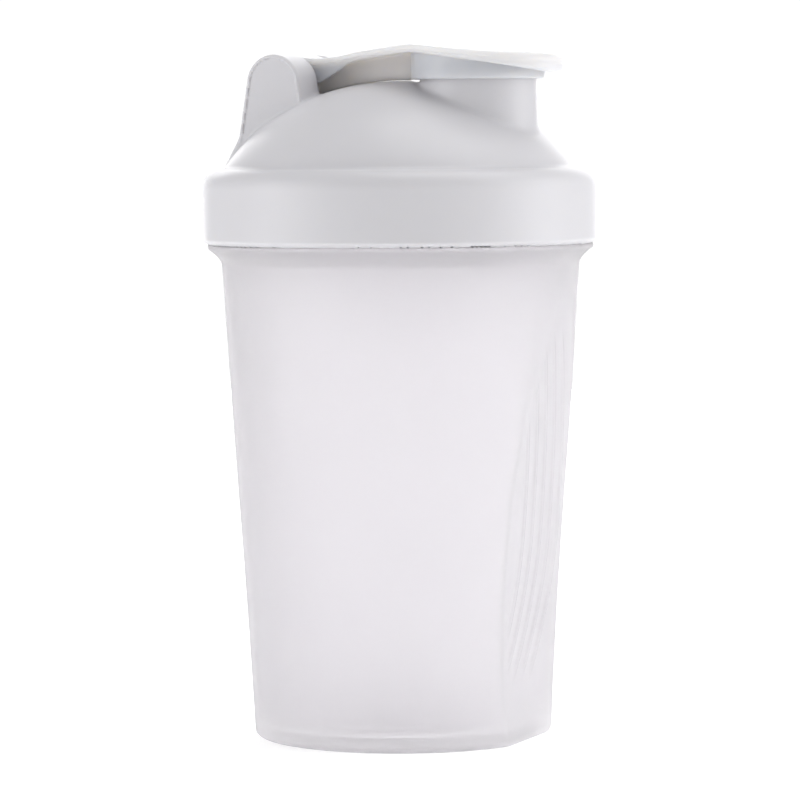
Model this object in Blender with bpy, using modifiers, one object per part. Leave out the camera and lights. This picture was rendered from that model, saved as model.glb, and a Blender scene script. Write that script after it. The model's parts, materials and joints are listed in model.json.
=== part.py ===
"""A protein shaker bottle: a translucent cup with two scooped, ribbed grips, a domed screw lid with a
drinking spout, a flip cap on a hinge pin, a mixing grid clipped inside the lid and a silicone seal ring.

Metres, +Z up. The origin is the middle of the foot and +X points from the hinge to the spout. Every piece
is modelled closed: lid screwed down, cap shut. A screwed-down lid stops a few degrees short of lining up
with the cup's grips, so the grips are turned by that much.
"""

import math

import bmesh
import bpy
from mathutils import Matrix, Vector

MM = 0.001
AROUND = 56  # sides of the large turned pieces
GAP = 0.3 * MM  # left between touching pieces

# Cup
FOOT_R = 34.8 * MM
FOOT_INNER_R = 31.4 * MM
FOOT_RECESS = 1.7 * MM
FLOOR_Z = 3.5 * MM
WALL_BASE_R = 36.9 * MM  # the cone's radius if it ran on down to z = 0
WALL_SLOPE = 0.0632
WALL = 1.6 * MM
WALL_TOP_Z = 116.8 * MM
COLLAR_R = 47.8 * MM
COLLAR_TOP_Z = 121.3 * MM
NECK_R = 44.6 * MM
NECK_INNER_R = 42.8 * MM
RIM_Z = 137.2 * MM

# Grips: each is scooped out of the wall by a very large cylinder lying along Y
GRIP_TURN = 4.0  # degrees about Z from the spout's direction
GRIP_X = 32.8 * MM  # how near the scoop comes to the bottle's axis
GRIP_Z = 8.0 * MM  # the height where it comes that near
GRIP_SCOOP_R = 468.0 * MM
GRIP_CUT_LOW_Z = -6.0 * MM
GRIP_CUT_HIGH_Z = 113.5 * MM  # above the scoop's own top edge and below the collar
RIB_MIDDLES = (-13.0, -6.6, -1.3, 1.3, 6.6, 13.0)  # mm from the grip's middle line, where each rib is nearest it
RIB_WAIST_Z = 46.0 * MM
RIB_TOP_Z = 100.0 * MM
RIB_BOTTOM_Z = 17.0 * MM
RIB_SPREAD = 7.0 * MM  # how much further out a rib stands at its ends than at its waist
RIB_EDGE = 2.0 * MM  # kept between a rib and the grip's edge
RIB_HALF = 0.9 * MM
RIB_HEIGHT = 0.6 * MM
RIB_STEPS = 8

# Threads: a right-hand helix on the neck, and one just below it inside the lid's skirt
THREAD_LEAD = 8.0 * MM
THREAD_START_Z = 126.5 * MM
THREAD_TURNS = 1.05
THREAD_DEPTH = 1.7 * MM
THREAD_ROOT_HALF = 1.0 * MM
THREAD_CREST_HALF = 0.5 * MM
THREAD_DROP = 1.7 * MM  # how far the lid's thread runs below the cup's
THREAD_RUN_OUT = 0.08  # share of a thread's length over which its ends fade

# Lid
SKIRT_R = 49.0 * MM
SKIRT_INNER_R = 46.9 * MM
SKIRT_BOTTOM_Z = 123.0 * MM
SHOULDER_Z = 141.0 * MM
SHOULDER_R = 4.5 * MM
LID_WALL = 2.0 * MM
DOME_A = 47.8 * MM  # the dome is part of an ellipse of these half axes
DOME_B = 37.0 * MM
DOME_TOP_Z = 162.5 * MM
DOME_STEPS = 9
SOCKET_RING_R = 42.3 * MM  # the inner ring that enters the cup's mouth
SOCKET_RING_INNER_R = 41.05 * MM
SOCKET_RING_BOTTOM_Z = 134.2 * MM

# Spout
SPOUT_X = 21.6 * MM
SPOUT_R = 14.2 * MM
SPOUT_BASE_R = 14.7 * MM
SPOUT_BORE_R = 12.8 * MM
SPOUT_TOP_Z = 166.6 * MM
SPOUT_AROUND = 32

# Hinge
HINGE_X = -27.4 * MM
HINGE_Z = 163.3 * MM
HINGE_R = 5.9 * MM
EAR_INNER_Y = 6.8 * MM
EAR_OUTER_Y = 17.4 * MM
EAR_TOP = (-26.4 * MM, 161.9 * MM)  # x and z of the middle of its round top
EAR_TOP_R = 7.3 * MM
EAR_LEAN = 9.5  # degrees that its front and its back slope apart below that
EAR_FOOT_Z = 140.0 * MM  # inside the shoulder
EAR_EDGE = 0.8 * MM
PIN_R = 1.9 * MM
PIN_HOLE_R = 2.05 * MM
PIN_NEAR_Y = -11.0 * MM  # the blind end
PIN_FAR_Y = 16.9 * MM  # the end it was pushed in by, just under flush
PIN_AROUND = 20

# Flip cap
CAP_ROOT_HALF = 6.3 * MM
CAP_HEAD_HALF = 18.0 * MM
CAP_HEAD_X = 22.0 * MM
CAP_TIP_X = 43.3 * MM
CAP_PLATE = 1.7 * MM
CAP_CROWN = 0.7 * MM
CAP_RIM = 1.7 * MM  # width of the turned-down edge
CAP_TOP = [(-27.4, 168.9), (-20, 168.3), (-15, 168.6), (-8, 169.8), (0, 170.7), (10, 171.6),
           (20, 170.8), (30, 169.8), (39, 169.0), (43.3, 168.3)]  # x and z in mm along the middle
CAP_EDGE = [(-27.4, 6.0), (-20, 6.0), (-16, 4.2), (-11, 2.2), (-5, 1.8), (20, 1.8), (33, 2.6),
            (43.3, 3.8)]  # x and edge height in mm
CAP_STATIONS = 30
WEB_HALF = 1.2 * MM
WEB_LIFT = 0.35 * MM  # clear of the dome
WEB_RISE = 1.5 * MM
WEB_REAR_X = -25.0 * MM
WEB_FRONT_X = 5.9 * MM  # inside the wall of the cap's ring
RING_R = 16.5 * MM
RING_INNER_R = 15.0 * MM
RING_BOTTOM_Z = 162.7 * MM
PLUG_R = 12.3 * MM
PLUG_TIP_R = 11.6 * MM
PLUG_WALL = 1.4 * MM
PLUG_BOTTOM_Z = 163.4 * MM

# Seal ring and mixing grid
SEAL_R = 46.2 * MM
SEAL_INNER_R = 42.7 * MM
SEAL_THICK = 1.2 * MM
GRID_R = 40.7 * MM
GRID_FLOOR_Z = 135.5 * MM
GRID_FLOOR = 1.3 * MM
GRID_RIM_TOP_Z = 138.4 * MM
GRID_RIM = 1.2 * MM
GRID_HOLE_R = 2.6 * MM
GRID_PITCH = 10.4 * MM
GRID_RINGS = 3
GRID_BEAD_Z = 137.6 * MM


# --- Helpers -------------------------------------------------------------------------------------------

def clear_scene():
    for obj in list(bpy.data.objects):
        bpy.data.objects.remove(obj, do_unlink=True)


def collection(name):
    made = bpy.data.collections.new(name)
    bpy.context.scene.collection.children.link(made)
    return made


def link_mesh(name, mesh, home):
    obj = bpy.data.objects.new(name, mesh)
    home.objects.link(obj)
    return obj


def as_cutter(obj):
    """Marks an object that only shapes another one."""
    obj.hide_render = True
    obj.display_type = "WIRE"
    return obj


def turned(name, profile, home, steps=AROUND):
    """A turned body. The profile runs down its outer side; one that never meets the axis is a closed loop."""
    edges = [(i, i + 1) for i in range(len(profile) - 1)]
    if profile[0][0] > 0:
        edges.append((len(profile) - 1, 0))
    mesh = bpy.data.meshes.new(name)
    mesh.from_pydata([(r, 0, z) for r, z in profile], edges, [])
    obj = link_mesh(name, mesh, home)
    screw = obj.modifiers.new("Turn", "SCREW")
    screw.steps = screw.render_steps = steps
    screw.use_merge_vertices = True
    screw.merge_threshold = 0.01 * MM
    screw.use_smooth_shade = True
    return obj


def arc(centre, radius, start, end, steps):
    """Points of an arc in a profile, angles in degrees from +r towards +z."""
    angles = [math.radians(start + (end - start) * i / steps) for i in range(steps + 1)]
    return [(centre[0] + radius * math.cos(a), centre[1] + radius * math.sin(a)) for a in angles]


def loft(name, rings, home):
    """A closed body through rings of equally many points, with flat ends."""
    bm = bmesh.new()
    rows = [[bm.verts.new(point) for point in ring] for ring in rings]
    count = len(rows[0])
    for first, second in zip(rows, rows[1:]):
        for i in range(count):
            bm.faces.new((first[i], first[(i + 1) % count], second[(i + 1) % count], second[i]))
    bm.faces.new(rows[0])
    bm.faces.new(rows[-1])
    bmesh.ops.recalc_face_normals(bm, faces=bm.faces)
    mesh = bpy.data.meshes.new(name)
    bm.to_mesh(mesh)
    bm.free()
    return link_mesh(name, mesh, home)


def mesh_of_curve(name, curve, home):
    """A curve made into a mesh of its own, with its caps welded on."""
    guide = bpy.data.objects.new(name, curve)
    home.objects.link(guide)
    bpy.context.view_layer.update()
    mesh = bpy.data.meshes.new_from_object(guide.evaluated_get(bpy.context.evaluated_depsgraph_get()))
    bpy.data.objects.remove(guide, do_unlink=True)
    bm = bmesh.new()
    bm.from_mesh(mesh)
    bmesh.ops.remove_doubles(bm, verts=bm.verts, dist=0.005 * MM)
    bmesh.ops.recalc_face_normals(bm, faces=bm.faces)
    bm.to_mesh(mesh)
    bm.free()
    return link_mesh(name, mesh, home)


def slab(name, outline, thick, home):
    """A flat outline in X and Z, as thick as asked along Y and centred on Y = 0."""
    curve = bpy.data.curves.new(name, "CURVE")
    curve.dimensions = "2D"
    curve.fill_mode = "BOTH"
    curve.extrude = thick / 2
    spline = curve.splines.new("POLY")
    spline.points.add(len(outline) - 1)
    for point, (x, z) in zip(spline.points, outline):
        point.co = (x, z, 0, 1)
    spline.use_cyclic_u = True
    made = mesh_of_curve(name, curve, home)
    made.data.transform(Matrix.Rotation(math.pi / 2, 4, "X"))
    return as_cutter(made)


def tapered_block(name, low, high, home):
    """A block between two level rectangles. Each is (least x, most x, least y, most y, z)."""
    bm = bmesh.new()
    bmesh.ops.create_cube(bm, size=2)
    for vert in bm.verts:
        x0, x1, y0, y1, z = high if vert.co.z > 0 else low
        vert.co = (x1 if vert.co.x > 0 else x0, y1 if vert.co.y > 0 else y0, z)
    mesh = bpy.data.meshes.new(name)
    bm.to_mesh(mesh)
    bm.free()
    return as_cutter(link_mesh(name, mesh, home))


def cylinder(name, radius, length, centre, axis, home, sides):
    """A plain cylinder along the X, Y or Z axis, through its centre."""
    bm = bmesh.new()
    bmesh.ops.create_cone(bm, cap_ends=True, segments=sides, radius1=radius, radius2=radius, depth=length)
    turn = {"X": Matrix.Rotation(math.pi / 2, 4, "Y"), "Y": Matrix.Rotation(math.pi / 2, 4, "X"),
            "Z": Matrix.Identity(4)}[axis]
    bm.transform(turn)
    mesh = bpy.data.meshes.new(name)
    bm.to_mesh(mesh)
    bm.free()
    obj = link_mesh(name, mesh, home)
    obj.location = centre
    return obj


def combine(obj, operation, other):
    """Adds a Boolean of the other object, which becomes a cutter."""
    as_cutter(other)
    modifier = obj.modifiers.new(other.name, "BOOLEAN")
    modifier.operation = operation
    modifier.solver = "EXACT"
    modifier.object = other


def smooth_value(points, x):
    """A smooth curve through (x, y) points: cubic pieces whose slopes come from the neighbours."""
    last = len(points) - 1
    slopes = []
    for i in range(len(points)):
        (x0, y0), (x1, y1) = points[max(i - 1, 0)], points[min(i + 1, last)]
        slopes.append((y1 - y0) / (x1 - x0))
    i = max(0, min(last - 1, sum(x >= p[0] for p in points) - 1))
    (x0, y0), (x1, y1) = points[i], points[i + 1]
    step = x1 - x0
    t = min(max((x - x0) / step, 0.0), 1.0)
    return ((2 * t**3 - 3 * t**2 + 1) * y0 + (t**3 - 2 * t**2 + t) * step * slopes[i]
            + (3 * t**2 - 2 * t**3) * y1 + (t**3 - t**2) * step * slopes[i + 1])


def smoothstep(t):
    t = min(max(t, 0.0), 1.0)
    return t * t * (3 - 2 * t)


def plastic(name, colour, roughness, transmission=0.0):
    """A Principled material for one kind of plastic."""
    material = bpy.data.materials.new(name)
    material.use_nodes = True
    shader = material.node_tree.nodes["Principled BSDF"]
    shader.inputs["Base Color"].default_value = (*colour, 1)
    shader.inputs["Roughness"].default_value = roughness
    shader.inputs["Metallic"].default_value = 0.0
    shader.inputs["Transmission Weight"].default_value = transmission
    return material


# --- Shared shapes -------------------------------------------------------------------------------------

def wall_radius(z):
    """The cup's outer cone."""
    return WALL_BASE_R + WALL_SLOPE * z


def dome_height(r, inset=0.0):
    """Height of the dome's surface at a radius, or of its inside for an inset."""
    a, b = DOME_A - inset, DOME_B - inset
    return DOME_TOP_Z - DOME_B + b * math.sqrt(1 - (r / a) ** 2)


def dome_radius(z, inset=0.0):
    """Radius of the dome's surface at a height: dome_height turned round."""
    a, b = DOME_A - inset, DOME_B - inset
    return a * math.sqrt(1 - ((z - DOME_TOP_Z + DOME_B) / b) ** 2)


def grip_depth(z):
    """Distance of a grip's surface from the plane X = 0."""
    rise = z - GRIP_Z
    return GRIP_X + GRIP_SCOOP_R - math.sqrt(GRIP_SCOOP_R**2 - rise**2)


def thread(name, root_r, outward, drop, home):
    """A trapezoid ridge on a right-hand helix. It stands outward from root_r, or inward, and fades at its ends."""
    steps = int(AROUND * THREAD_TURNS)
    way = 1 if outward else -1
    rings = []
    for i in range(steps + 1):
        share = i / steps
        angle = 2 * math.pi * THREAD_TURNS * share
        z = THREAD_START_Z - drop + THREAD_LEAD * THREAD_TURNS * share
        fade = smoothstep(min(share, 1 - share) / THREAD_RUN_OUT)
        crest = root_r + way * THREAD_DEPTH * (0.08 + 0.92 * fade)
        root = root_r - way * GAP
        section = [(root, -THREAD_ROOT_HALF), (crest, -THREAD_CREST_HALF),
                   (crest, THREAD_CREST_HALF), (root, THREAD_ROOT_HALF)]
        rings.append([Vector((r * math.cos(angle), r * math.sin(angle), z + rise)) for r, rise in section])
    return as_cutter(loft(name, rings, home))


# --- Cup -----------------------------------------------------------------------------------------------

def cup_outside(home):
    """The cup as a solid block of revolution, with the recess under its floor."""
    fillet = FOOT_R - FOOT_INNER_R
    wall_foot = (wall_radius(2.2 * MM), 2.2 * MM)
    profile = [(0, RIM_Z), (NECK_R - 0.5 * MM, RIM_Z), (NECK_R, RIM_Z - 0.5 * MM), (NECK_R, COLLAR_TOP_Z),
               (COLLAR_R - 0.4 * MM, COLLAR_TOP_Z), (COLLAR_R, COLLAR_TOP_Z - 0.4 * MM),
               (COLLAR_R, COLLAR_TOP_Z - 1.0 * MM), (COLLAR_R - 1.0 * MM, COLLAR_TOP_Z - 1.9 * MM),
               (wall_radius(WALL_TOP_Z) + 0.6 * MM, WALL_TOP_Z + 0.7 * MM),
               (wall_radius(WALL_TOP_Z), WALL_TOP_Z - 0.4 * MM),
               wall_foot, (wall_foot[0] - 0.4 * MM, 0.9 * MM), (FOOT_R + 0.3 * MM, 0.2 * MM), (FOOT_R, 0),
               (FOOT_R - fillet * 0.85, 0), (FOOT_INNER_R, FOOT_RECESS), (0, FOOT_RECESS)]
    return turned("cup", profile, home)


def cup_hollow(home):
    """The space inside the cup, open past its rim."""
    inner_foot = FLOOR_Z + 3.0 * MM
    profile = [(0, RIM_Z + 5 * MM), (NECK_INNER_R, RIM_Z + 5 * MM), (NECK_INNER_R, COLLAR_TOP_Z),
               (wall_radius(WALL_TOP_Z) - WALL, WALL_TOP_Z - 2 * MM),
               (wall_radius(inner_foot) - WALL, inner_foot),
               (wall_radius(inner_foot) - WALL - 0.9 * MM, FLOOR_Z + 0.9 * MM),
               (wall_radius(inner_foot) - WALL - 3.0 * MM, FLOOR_Z), (0, FLOOR_Z)]
    return turned("cup_hollow", profile, home)


def grip_half_width(z):
    """Half the width of a grip at a height, measured along its flat."""
    return math.sqrt(max(wall_radius(z) ** 2 - grip_depth(z) ** 2, 0))


def turn_to_grip(obj, side):
    """Turns something made facing +X to where one of the two grips is."""
    obj.rotation_euler.z = math.radians(GRIP_TURN + (0 if side > 0 else 180))
    return obj


def grip_scoop(name, side, inset, home):
    """The large cylinder that scoops one grip, or with an inset the same from inside the wall."""
    radius = GRIP_SCOOP_R + inset
    centre = (GRIP_X + GRIP_SCOOP_R, GRIP_Z)
    top = 180 - math.degrees(math.asin((GRIP_CUT_HIGH_Z - GRIP_Z) / radius))
    bottom = 180 - math.degrees(math.asin((GRIP_CUT_LOW_Z - GRIP_Z) / radius))
    outline = arc(centre, radius, top, bottom, 20)
    beyond = COLLAR_R + 10 * MM
    outline += [(beyond, GRIP_CUT_LOW_Z), (beyond, GRIP_CUT_HIGH_Z)]
    return turn_to_grip(slab(name, outline, 2 * GRIP_X, home), side)


def rib_offset(middle, z):
    """Where a rib stands at a height, from the grip's middle line: nearest it at the waist."""
    end = RIB_TOP_Z if z > RIB_WAIST_Z else RIB_BOTTOM_Z
    away = (z - RIB_WAIST_Z) / (end - RIB_WAIST_Z)
    return middle + math.copysign(RIB_SPREAD * away**2, middle)


def grip_rib(name, side, middle, home):
    """One rib: a round bar let into the scooped wall, from edge to edge of the grip where it spreads that far."""
    count = 60
    levels = [RIB_BOTTOM_Z + (RIB_TOP_Z - RIB_BOTTOM_Z) * i / count for i in range(count + 1)]
    inside = [z for z in levels if abs(rib_offset(middle, z)) < grip_half_width(z) - RIB_EDGE]
    low, high = inside[0], inside[-1]
    curve = bpy.data.curves.new(name, "CURVE")
    curve.dimensions = "3D"
    curve.bevel_depth = RIB_HALF
    curve.bevel_resolution = 0
    curve.use_fill_caps = True
    spline = curve.splines.new("POLY")
    spline.points.add(RIB_STEPS)
    for i, point in enumerate(spline.points):
        z = low + (high - low) * i / RIB_STEPS
        point.co = (grip_depth(z) + RIB_HEIGHT - RIB_HALF, rib_offset(middle, z), z, 1)
    return turn_to_grip(mesh_of_curve(name, curve, home), side)


def make_cup(parts, cutters, material):
    cup = cup_outside(parts)
    hollow = cup_hollow(cutters)
    for side, label in ((1, "front"), (-1, "back")):
        combine(hollow, "DIFFERENCE", grip_scoop(f"scoop_inside_{label}", side, WALL, cutters))
        combine(cup, "DIFFERENCE", grip_scoop(f"scoop_{label}", side, 0, cutters))
    combine(cup, "DIFFERENCE", hollow)
    for side, label in ((1, "front"), (-1, "back")):
        for k, middle in enumerate(RIB_MIDDLES):
            combine(cup, "UNION", grip_rib(f"rib_{label}_{k}", side, middle * MM, cutters))
    combine(cup, "UNION", thread("neck_thread", NECK_R, True, 0, cutters))
    cup.data.materials.append(material)
    return cup


# --- Lid -----------------------------------------------------------------------------------------------

def lid_outside(home):
    """Skirt, rounded shoulder and dome as one solid block of revolution."""
    foot = dome_radius(SHOULDER_Z + 0.3 * MM)
    dome = [foot * math.sin(math.pi / 2 * i / DOME_STEPS) for i in range(DOME_STEPS + 1)]
    dome = [(r, dome_height(r)) for r in dome]
    shoulder = arc((SKIRT_R - SHOULDER_R, SHOULDER_Z - SHOULDER_R), SHOULDER_R, 90, 0, 5)
    profile = [*dome, (foot + 0.5 * MM, SHOULDER_Z), *shoulder,
               (SKIRT_R, SKIRT_BOTTOM_Z + 0.5 * MM), (SKIRT_R - 0.4 * MM, SKIRT_BOTTOM_Z), (0, SKIRT_BOTTOM_Z)]
    return turned("lid", profile, home)


def lid_hollow(home):
    """The space inside the lid."""
    seat_z = SHOULDER_Z - LID_WALL
    foot = dome_radius(seat_z, LID_WALL)
    dome = [foot * math.sin(math.pi / 2 * i / DOME_STEPS) for i in range(DOME_STEPS + 1)]
    profile = [*[(r, dome_height(r, LID_WALL)) for r in dome], (SKIRT_INNER_R - 0.6 * MM, seat_z),
               (SKIRT_INNER_R, seat_z - 1.2 * MM), (SKIRT_INNER_R, SKIRT_BOTTOM_Z + 0.6 * MM),
               (SKIRT_INNER_R + 0.6 * MM, SKIRT_BOTTOM_Z - 1 * MM), (0, SKIRT_BOTTOM_Z - 1 * MM)]
    return turned("lid_hollow", profile, home)


def socket_ring(home):
    """The ring under the dome that enters the cup's mouth, with the groove that the mixing grid clips into."""
    top = SHOULDER_Z - LID_WALL + 0.9 * MM
    inner, groove = SOCKET_RING_INNER_R, SOCKET_RING_INNER_R + 0.3 * MM
    profile = [(SOCKET_RING_R, top), (SOCKET_RING_R, SOCKET_RING_BOTTOM_Z + 0.8 * MM),
               (SOCKET_RING_R - 0.5 * MM, SOCKET_RING_BOTTOM_Z), (inner, SOCKET_RING_BOTTOM_Z),
               (inner, GRID_BEAD_Z - 0.8 * MM), (groove, GRID_BEAD_Z - 0.5 * MM),
               (groove, GRID_BEAD_Z + 0.5 * MM), (inner, GRID_BEAD_Z + 0.8 * MM), (inner, top)]
    return turned("socket_ring", profile, home)


def ear_outline():
    """Side view of an ear, x and z: a round top on a foot that widens downward."""
    lean = math.radians(EAR_LEAN)
    top = arc(EAR_TOP, EAR_TOP_R, EAR_LEAN, 180 - EAR_LEAN, 12)
    spread = EAR_TOP_R * math.cos(lean) + (EAR_TOP[1] + EAR_TOP_R * math.sin(lean) - EAR_FOOT_Z) * math.tan(lean)
    return [(EAR_TOP[0] + spread, EAR_FOOT_Z), *top, (EAR_TOP[0] - spread, EAR_FOOT_Z)]


def ear(name, side, home):
    """One hinge ear, its edges eased by a narrow bevel."""
    made = slab(name, ear_outline(), EAR_OUTER_Y - EAR_INNER_Y, home)
    made.location.y = side * (EAR_OUTER_Y + EAR_INNER_Y) / 2
    bevel = made.modifiers.new("Eased", "BEVEL")
    bevel.width = EAR_EDGE
    bevel.segments = 2
    bevel.limit_method = "ANGLE"
    bevel.angle_limit = math.radians(40)
    return made


def ear_core(name, side, home):
    """The pocket that keeps an ear's walls thin. It opens into the lid."""
    wall = 1.7 * MM
    near, far = EAR_INNER_Y + wall, EAR_OUTER_Y - wall
    low = (-36.4 * MM, -19.4 * MM, *sorted((side * near, side * far)), 136 * MM)
    high = (-32.6 * MM, -21.0 * MM, *sorted((side * (near + 0.5 * MM), side * (far - 0.5 * MM))), 157.6 * MM)
    return tapered_block(name, low, high, home)


def spout_outside(home):
    """The spout's tower as a solid, from inside the dome to its lip."""
    profile = [(0, SPOUT_TOP_Z), (SPOUT_R - 0.5 * MM, SPOUT_TOP_Z), (SPOUT_R, SPOUT_TOP_Z - 0.5 * MM),
               (SPOUT_BASE_R, 150 * MM), (SPOUT_BASE_R, 140 * MM), (0, 140 * MM)]
    tower = turned("spout_tower", profile, home, SPOUT_AROUND)
    tower.location.x = SPOUT_X
    return tower


def make_lid(parts, cutters, material):
    lid = lid_outside(parts)
    combine(lid, "UNION", spout_outside(cutters))
    for side, label in ((1, "far"), (-1, "near")):
        combine(lid, "UNION", ear(f"ear_{label}", side, cutters))
    combine(lid, "DIFFERENCE", lid_hollow(cutters))
    bore = cylinder("spout_bore", SPOUT_BORE_R, 50 * MM, (SPOUT_X, 0, 155 * MM), "Z", cutters, SPOUT_AROUND)
    combine(lid, "DIFFERENCE", bore)
    for side, label in ((1, "far"), (-1, "near")):
        combine(lid, "DIFFERENCE", ear_core(f"ear_core_{label}", side, cutters))
    near, far = PIN_NEAR_Y - GAP, EAR_OUTER_Y + 5 * MM
    hole = cylinder("pin_hole", PIN_HOLE_R, far - near, (HINGE_X, (near + far) / 2, HINGE_Z), "Y", cutters, PIN_AROUND)
    combine(lid, "DIFFERENCE", hole)
    combine(lid, "UNION", socket_ring(cutters))
    combine(lid, "UNION", thread("lid_thread", SKIRT_INNER_R, False, THREAD_DROP, cutters))
    lid.data.materials.append(material)
    return lid


# --- Flip cap ------------------------------------------------------------------------------------------

def cap_half_width(x):
    """Half width of the cap's plate: narrow at the hinge, a rounded paddle over the spout."""
    if x <= CAP_HEAD_X:
        rise = smoothstep((x + 16 * MM) / (CAP_HEAD_X + 16 * MM))
        return CAP_ROOT_HALF + (CAP_HEAD_HALF - CAP_ROOT_HALF) * rise
    share = min((x - CAP_HEAD_X) / (CAP_TIP_X - CAP_HEAD_X), 1.0)
    return CAP_HEAD_HALF * math.sqrt(1 - share**2)


def cap_section(x):
    """Cross-section of the plate at x: crowned top, eased corners and a turned-down edge."""
    half = max(cap_half_width(x), 2.0 * MM)
    top = smooth_value(CAP_TOP, x / MM) * MM
    edge = smooth_value(CAP_EDGE, x / MM) * MM
    crown = CAP_CROWN * min(half / CAP_HEAD_HALF, 1)
    ease = 0.45 * MM
    rim = min(CAP_RIM, 0.45 * half)
    side_top = top - crown
    upper = [(y, top - crown * (y / half) ** 2) for y in [half * k for k in (-0.66, -0.33, 0, 0.33, 0.66)]]
    left = [(-half + ease, side_top), (-half, side_top - ease)]
    right = [(half, side_top - ease), (half, side_top - edge + ease / 2)]
    under = [(half - rim, side_top - edge), (half - rim, top - crown * 0.8 - CAP_PLATE), (0, top - CAP_PLATE)]
    mirrored = [(-y, z) for y, z in reversed(under[:-1])]
    section = [*left[::-1], *upper, (half - ease, side_top), *right, *under, *mirrored,
               (-half, side_top - edge + ease / 2)]
    return [Vector((x, y, z)) for y, z in section]


def cap_plate(home):
    """The lever from the hinge to the thumb tab."""
    start = HINGE_X + 1.5 * MM
    bend = CAP_HEAD_X
    straight = [start + (bend - start) * i / 17 for i in range(17)]
    reach = CAP_TIP_X - bend
    head = [bend + reach * math.sin(math.radians(86 * i / 12)) for i in range(13)]
    return loft("flip_cap", [cap_section(x) for x in straight + head], home)


def cap_web(home):
    """The stiffening web under the lever, just clear of the dome, its lower edge lifted beside the spout."""
    count = 10
    under, over = [], []
    for i in range(count + 1):
        x = WEB_REAR_X + (WEB_FRONT_X - WEB_REAR_X) * i / count
        under.append((x, dome_height(abs(x)) + WEB_LIFT + WEB_RISE * smoothstep(x / WEB_FRONT_X)))
        over.append((x, smooth_value(CAP_TOP, x / MM) * MM - CAP_PLATE / 2))
    return slab("cap_web", under + over[::-1], 2 * WEB_HALF, home)


def cap_ring(home):
    """The skirt that closes over the outside of the spout."""
    top = smooth_value(CAP_TOP, SPOUT_X / MM) * MM - CAP_PLATE / 2
    profile = [(RING_R, top), (RING_R, RING_BOTTOM_Z + 0.4 * MM), (RING_R - 0.4 * MM, RING_BOTTOM_Z),
               (RING_INNER_R + 0.3 * MM, RING_BOTTOM_Z), (RING_INNER_R, RING_BOTTOM_Z + 0.6 * MM),
               (RING_INNER_R, top)]
    ring = turned("cap_ring", profile, home, SPOUT_AROUND)
    ring.location.x = SPOUT_X
    return ring


def cap_plug(home):
    """The hollow plug that seals the spout's bore."""
    top = smooth_value(CAP_TOP, SPOUT_X / MM) * MM - CAP_PLATE / 2
    profile = [(PLUG_R, top), (PLUG_R, top - 2.2 * MM), (PLUG_TIP_R, PLUG_BOTTOM_Z + 0.6 * MM),
               (PLUG_TIP_R - 0.5 * MM, PLUG_BOTTOM_Z), (PLUG_TIP_R - PLUG_WALL, PLUG_BOTTOM_Z),
               (PLUG_R - PLUG_WALL, top)]
    plug = turned("cap_plug", profile, home, SPOUT_AROUND)
    plug.location.x = SPOUT_X
    return plug


def make_flip_cap(parts, cutters, material):
    cap = cap_plate(parts)
    knuckle = cylinder("knuckle", HINGE_R, 2 * (EAR_INNER_Y - GAP - 0.1 * MM), (HINGE_X, 0, HINGE_Z), "Y",
                       cutters, 28)
    combine(cap, "UNION", knuckle)
    combine(cap, "UNION", cap_web(cutters))
    combine(cap, "UNION", cap_ring(cutters))
    combine(cap, "UNION", cap_plug(cutters))
    hole = cylinder("knuckle_hole", PIN_HOLE_R, 30 * MM, (HINGE_X, 0, HINGE_Z), "Y", cutters, PIN_AROUND)
    combine(cap, "DIFFERENCE", hole)
    cap.data.materials.append(material)
    return cap


# --- Small pieces --------------------------------------------------------------------------------------

def make_pin(parts, material):
    length, middle = PIN_FAR_Y - PIN_NEAR_Y, (PIN_FAR_Y + PIN_NEAR_Y) / 2
    pin = cylinder("hinge_pin", PIN_R, length, (HINGE_X, middle, HINGE_Z), "Y", parts, PIN_AROUND)
    pin.data.materials.append(material)
    return pin


def make_seal(parts, material):
    """A flat silicone ring between the cup's rim and the lid, with two lips on its underside."""
    low = RIM_Z + GAP
    high = low + SEAL_THICK
    lip = 0.2 * MM
    profile = [(SEAL_R, high), (SEAL_R, low + lip), (SEAL_R - 1.0 * MM, low + lip), (SEAL_R - 1.4 * MM, low),
               (SEAL_INNER_R + 0.5 * MM, low), (SEAL_INNER_R, low + lip), (SEAL_INNER_R, high)]
    seal = turned("lid_seal", profile, parts)
    seal.data.materials.append(material)
    return seal


def hole_centres():
    """A hexagonal field of hole centres round the middle."""
    found = []
    for q in range(-GRID_RINGS, GRID_RINGS + 1):
        for r in range(-GRID_RINGS, GRID_RINGS + 1):
            if abs(q + r) <= GRID_RINGS:
                found.append((GRID_PITCH * (q + r / 2), GRID_PITCH * r * math.sqrt(3) / 2))
    return found


def make_grid(parts, cutters, material):
    """The mixing grid: a drilled plate in a low rim, with a bead that clips into the lid."""
    rim_in, top = GRID_R - GRID_RIM, GRID_FLOOR_Z + GRID_FLOOR
    bead = GRID_R + 0.45 * MM
    profile = [(0, top), (rim_in, top), (rim_in, GRID_RIM_TOP_Z), (GRID_R - 0.3 * MM, GRID_RIM_TOP_Z),
               (GRID_R, GRID_BEAD_Z + 0.5 * MM), (bead, GRID_BEAD_Z + 0.1 * MM), (bead, GRID_BEAD_Z - 0.1 * MM),
               (GRID_R, GRID_BEAD_Z - 0.5 * MM), (GRID_R, GRID_FLOOR_Z), (0, GRID_FLOOR_Z)]
    grid = turned("mixing_grid", profile, parts)
    bm = bmesh.new()
    for x, y in hole_centres():
        bmesh.ops.create_cone(bm, cap_ends=True, segments=8, radius1=GRID_HOLE_R, radius2=GRID_HOLE_R,
                              depth=10 * MM, matrix=Matrix.Translation((x, y, GRID_FLOOR_Z)))
    mesh = bpy.data.meshes.new("grid_holes")
    bm.to_mesh(mesh)
    bm.free()
    combine(grid, "DIFFERENCE", link_mesh("grid_holes", mesh, cutters))
    grid.data.materials.append(material)
    return grid


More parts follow.
